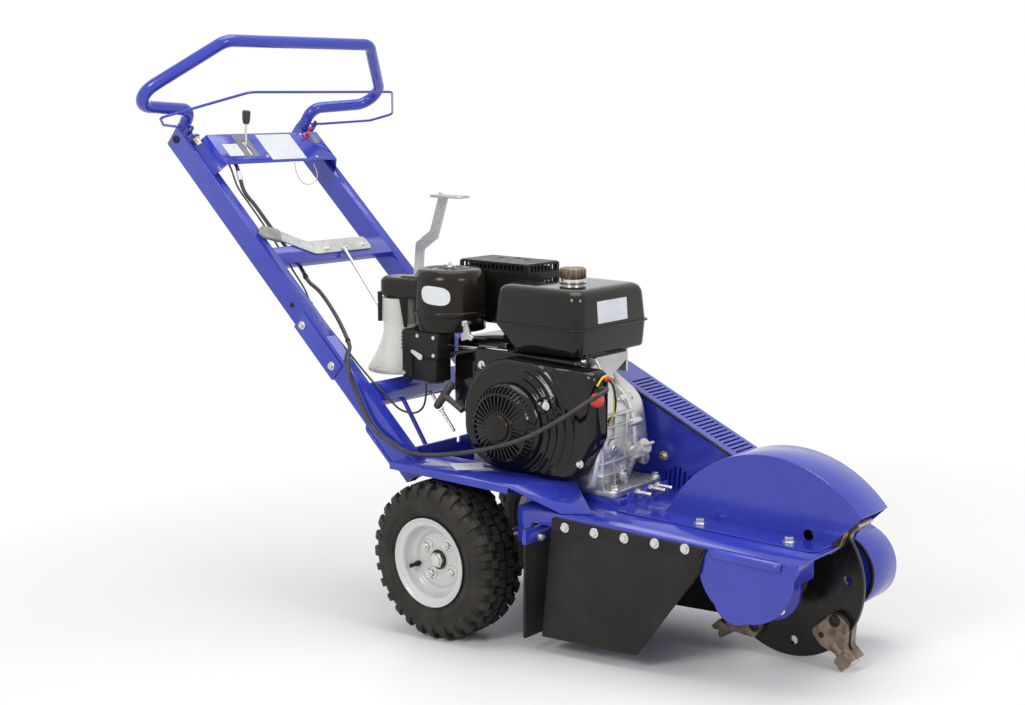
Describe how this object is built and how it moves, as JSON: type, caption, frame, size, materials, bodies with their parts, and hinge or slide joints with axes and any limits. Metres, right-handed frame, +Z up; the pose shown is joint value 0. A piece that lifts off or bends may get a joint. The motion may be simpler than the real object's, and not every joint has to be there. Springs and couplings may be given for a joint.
{
  "type": "stump grinder",
  "caption": "Walk-behind stump grinder: wheeled deck with inclined handle frame, single-cylinder petrol engine, belt guard and hooded toothed cutter wheel at the front.",
  "frame": {"origin": "point on the ground under the middle of the machine's length and width", "axes": "+X forward to the cutter wheel, +Y to the operator's left, +Z up"},
  "size_m": [1.6834, 0.7442, 1.2858],
  "materials": {
    "blue_paint": "gloss blue paint",
    "zinc": "bright zinc plate",
    "cast_aluminium": "as cast",
    "black_enamel": "gloss black enamel",
    "black_shell": "gloss black shell",
    "heat_black": "satin black heat-proof coat",
    "black_plastic": "moulded",
    "rubber": "plain sheet",
    "tyre_rubber": "moulded tread",
    "grey_rim_paint": "satin light grey paint",
    "brown_steel": "brown heat-treated steel",
    "dark_disc_steel": "dark oiled steel",
    "brass": "plain",
    "red_plastic": "gloss",
    "clear_bowl": "milky clear moulding"
  },
  "bodies": {
    "machine": {"air_cleaner": "black_shell", "axle": "zinc", "bearing_left": "blue_paint", "bearing_right": "blue_paint", "belt_guard": "blue_paint", "carburettor": "black_shell", "console_panel": "blue_paint", "cutter_hood": "blue_paint", "deck_plate": "blue_paint", "drive_belt": "rubber", "dust_bowl": "clear_bowl", "engine_block": "cast_aluminium", "fan_cover": "black_enamel", "fender_left": "blue_paint", "fender_right": "blue_paint", "flap_left": "rubber", "flap_rear": "rubber", "flap_right": "rubber", "fuel_tank": "black_shell", "handle_bar": "blue_paint", "leg_left": "blue_paint", "leg_right": "blue_paint", "lower_cross_member": "blue_paint", "lower_leg_left": "blue_paint", "lower_leg_right": "blue_paint", "muffler": "heat_black", "recoil_housing": "black_enamel", "side_plate_left": "blue_paint", "side_plate_right": "blue_paint", "throttle_cable": "black_plastic", "upper_cross_member": "blue_paint", "wiring_loom": "black_plastic"},
    "wheel_right": {"rim_right": "grey_rim_paint", "tyre_right": "tyre_rubber"},
    "wheel_left": {"rim_left": "grey_rim_paint", "tyre_left": "tyre_rubber"},
    "cutter": {"cutter_shaft": "brown_steel", "cutter_pulley": "brown_steel", "cutter_disc": "dark_disc_steel", "cutter_tooth_1": "brown_steel", "cutter_tooth_2": "brown_steel", "cutter_tooth_3": "brown_steel", "cutter_tooth_4": "brown_steel", "cutter_tooth_5": "brown_steel", "cutter_tooth_6": "brown_steel", "cutter_tooth_7": "brown_steel", "cutter_tooth_8": "brown_steel"},
    "crank": {"crankshaft": "brown_steel"},
    "throttle_lever": {"throttle_lever": "black_plastic"},
    "bail": {"bail": "blue_paint"},
    "bail_switch": {"bail_switch": "brass"},
    "toggle_switch": {"toggle_switch": "red_plastic"},
    "engine_switch": {"engine_switch": "red_plastic"},
    "fuel_cap": {"fuel_cap": "brown_steel"},
    "dipstick": {"dipstick": "black_plastic"},
    "choke_lever": {"choke_lever": "zinc"},
    "starter_grip": {"starter_grip": "black_plastic"},
    "lock_lever": {"lock_lever": "zinc"},
    "lock_rod": {"lock_rod": "zinc"},
    "strap_lever": {"strap_lever": "zinc"}
  },
  "joints": [
    {"name": "wheel_right_spin", "type": "hinge", "parent": "machine", "child": "wheel_right", "pos_m": [-0.03105, -0.2, 0.165], "axis": [0, 1, 0], "continuous": true},
    {"name": "wheel_left_spin", "type": "hinge", "parent": "machine", "child": "wheel_left", "pos_m": [-0.03105, 0.2, 0.165], "axis": [0, 1, 0], "continuous": true},
    {"name": "cutter_spin", "type": "hinge", "parent": "machine", "child": "cutter", "pos_m": [0.66098, 0, 0.16432], "axis": [0, 1, 0], "continuous": true},
    {"name": "crank_spin", "type": "hinge", "parent": "machine", "child": "crank", "pos_m": [0.12404, 0, 0.44381], "axis": [0, 1, 0], "continuous": true},
    {"name": "throttle_swing", "type": "hinge", "parent": "machine", "child": "throttle_lever", "pos_m": [-0.70917, -0.08, 1.0162], "axis": [0, 1, 0], "range_deg": [0, 45]},
    {"name": "bail_swing", "type": "hinge", "parent": "machine", "child": "bail", "pos_m": [-0.76117, 0, 1.09436], "axis": [0, -1, 0], "range_deg": [0, 26]},
    {"name": "bail_switch_slide", "type": "slide", "parent": "machine", "child": "bail_switch", "axis": [0.6877, 0, -0.726], "range_m": [0, 0.01]},
    {"name": "toggle_flip", "type": "hinge", "parent": "machine", "child": "toggle_switch", "pos_m": [-0.71161, 0.127, 1.0701], "axis": [0, 1, 0], "range_deg": [0, 24]},
    {"name": "engine_switch_turn", "type": "hinge", "parent": "machine", "child": "engine_switch", "pos_m": [0.33116, -0.13, 0.49791], "axis": [0.997, 0, -0.0776], "range_deg": [0, 90]},
    {"name": "fuel_cap_turn", "type": "hinge", "parent": "machine", "child": "fuel_cap", "pos_m": [0.16688, 0.02, 0.72363], "axis": [0.0776, 0, 0.997], "range_deg": [0, 90]},
    {"name": "dipstick_turn", "type": "hinge", "parent": "machine", "child": "dipstick", "pos_m": [0.32494, 0.02, 0.38304], "axis": [0.8945, 0, 0.447], "range_deg": [0, 720]},
    {"name": "choke_swing", "type": "hinge", "parent": "machine", "child": "choke_lever", "pos_m": [-0.13999, -0.1253, 0.56967], "axis": [0, 1, 0], "range_deg": [0, 60]},
    {"name": "starter_pull", "type": "slide", "parent": "machine", "child": "starter_grip", "axis": [-0.8531, 0, 0.5217], "range_m": [0, 0.4], "stiffness_N_per_m": 20, "springref_m": -0.1},
    {"name": "lock_swing", "type": "hinge", "parent": "machine", "child": "lock_lever", "pos_m": [-0.5196, 0.096, 0.79908], "axis": [0.726, 0, 0.6877], "range_deg": [-8, 14]},
    {"name": "lock_rod_slide", "type": "slide", "parent": "machine", "child": "lock_rod", "axis": [0.6512, -0.0749, -0.7552], "range_m": [-0.0125, 0.0205]},
    {"name": "strap_swing", "type": "hinge", "parent": "machine", "child": "strap_lever", "pos_m": [-0.42631, 0.1727, 0.64109], "axis": [0, 1, 0], "range_deg": [-20, 0]}
  ],
  "couplings": [
    {"joint": "crank_spin", "follows": "cutter_spin", "ratio": 1.25},
    {"joint": "bail_switch_slide", "follows": "bail_swing", "m_per_rad": 0.0205},
    {"joint": "lock_rod_slide", "follows": "lock_swing", "m_per_rad": 0.076}
  ]
}
